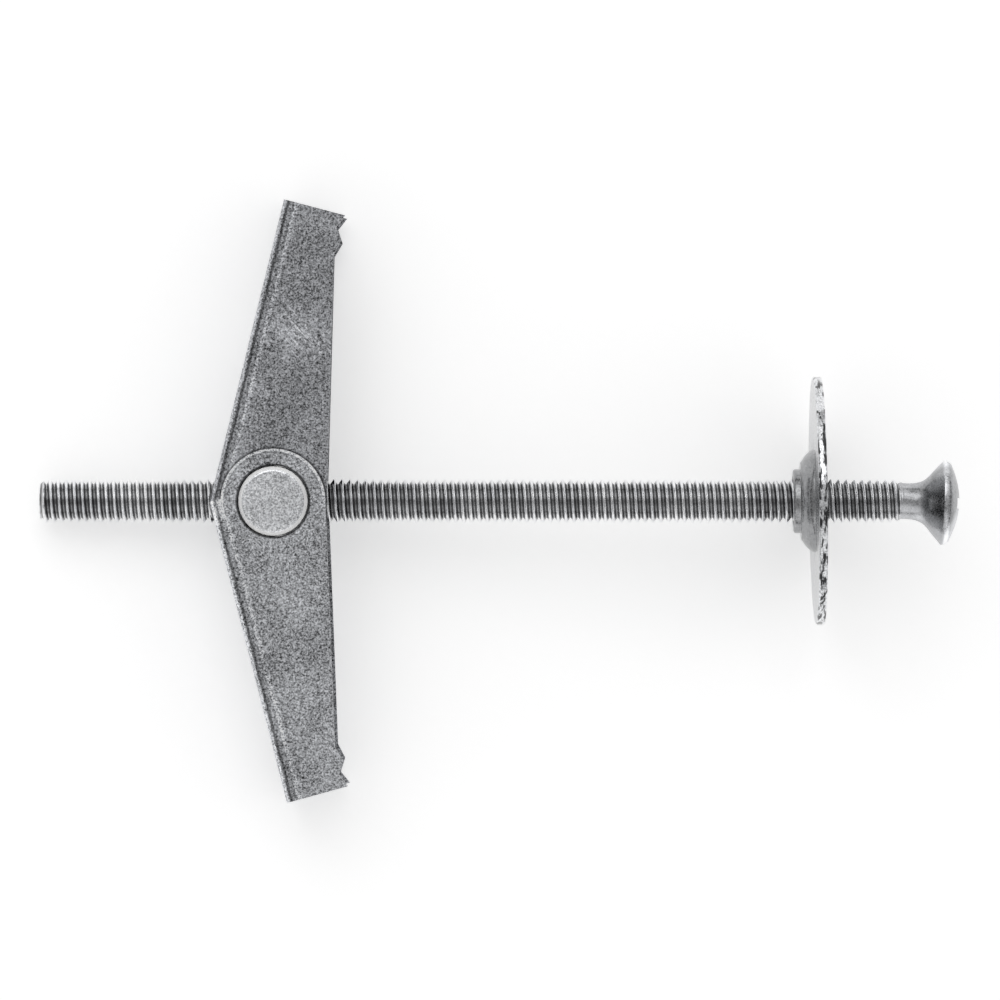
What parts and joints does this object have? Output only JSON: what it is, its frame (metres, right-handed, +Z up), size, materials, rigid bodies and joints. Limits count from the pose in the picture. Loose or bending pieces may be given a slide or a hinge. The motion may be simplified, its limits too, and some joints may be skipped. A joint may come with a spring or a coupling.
{
  "type": "spring toggle bolt",
  "caption": "Spring toggle bolt: long countersunk machine screw, dished washer and a trunnion nut with sprung channel wings that fold for a wall hole and open behind it.",
  "frame": {"origin": "centre of the bolt's footprint on the floor that it lies on", "axes": "+X along the screw to its head, +Y along the first wing's span, +Z up from the floor; the screw rises towards its head by the lie of the washer's rim"},
  "size_m": [0.0814, 0.0532, 0.0219],
  "materials": {
    "bright_zinc": "bright zinc plate on turned and rolled steel",
    "bright_zinc_sheet": "bright zinc plate on pressed sheet steel",
    "dull_zinc_sheet": "mottled zinc plate on pressed sheet steel, fine scuffs",
    "spring_wire": "plain drawn spring steel wire"
  },
  "bodies": {
    "screw": {"screw": "bright_zinc"},
    "washer": {"washer": "bright_zinc_sheet"},
    "toggle": {"trunnion_nut": "bright_zinc", "torsion_spring": "spring_wire"},
    "wing_upper": {"wing_upper": "dull_zinc_sheet"},
    "wing_lower": {"wing_lower": "dull_zinc_sheet"}
  },
  "joints": [
    {"name": "washer_slide", "type": "slide", "parent": "screw", "child": "washer", "axis": [0.9933, 0, 0.1154], "range_m": [0, 0.0103]},
    {"name": "nut_travel", "type": "slide", "parent": "screw", "child": "toggle", "axis": [0.9933, 0, 0.1154], "range_m": [-0.0175, 0.0195]},
    {"name": "wing_upper_hinge", "type": "hinge", "parent": "toggle", "child": "wing_upper", "pos_m": [-0.01986, -0.00001, 0.00538], "axis": [0.1154, 0, -0.9933], "range_deg": [0, 75.9], "stiffness_Nm_per_rad": 0.009, "springref_deg": -51.57, "deforming": ["torsion_spring"]},
    {"name": "wing_lower_hinge", "type": "hinge", "parent": "toggle", "child": "wing_lower", "pos_m": [-0.01986, -0.00001, 0.00538], "axis": [-0.1154, 0, 0.9933], "range_deg": [0, 75.9], "stiffness_Nm_per_rad": 0.009, "springref_deg": -51.57, "deforming": ["torsion_spring"]}
  ]
}
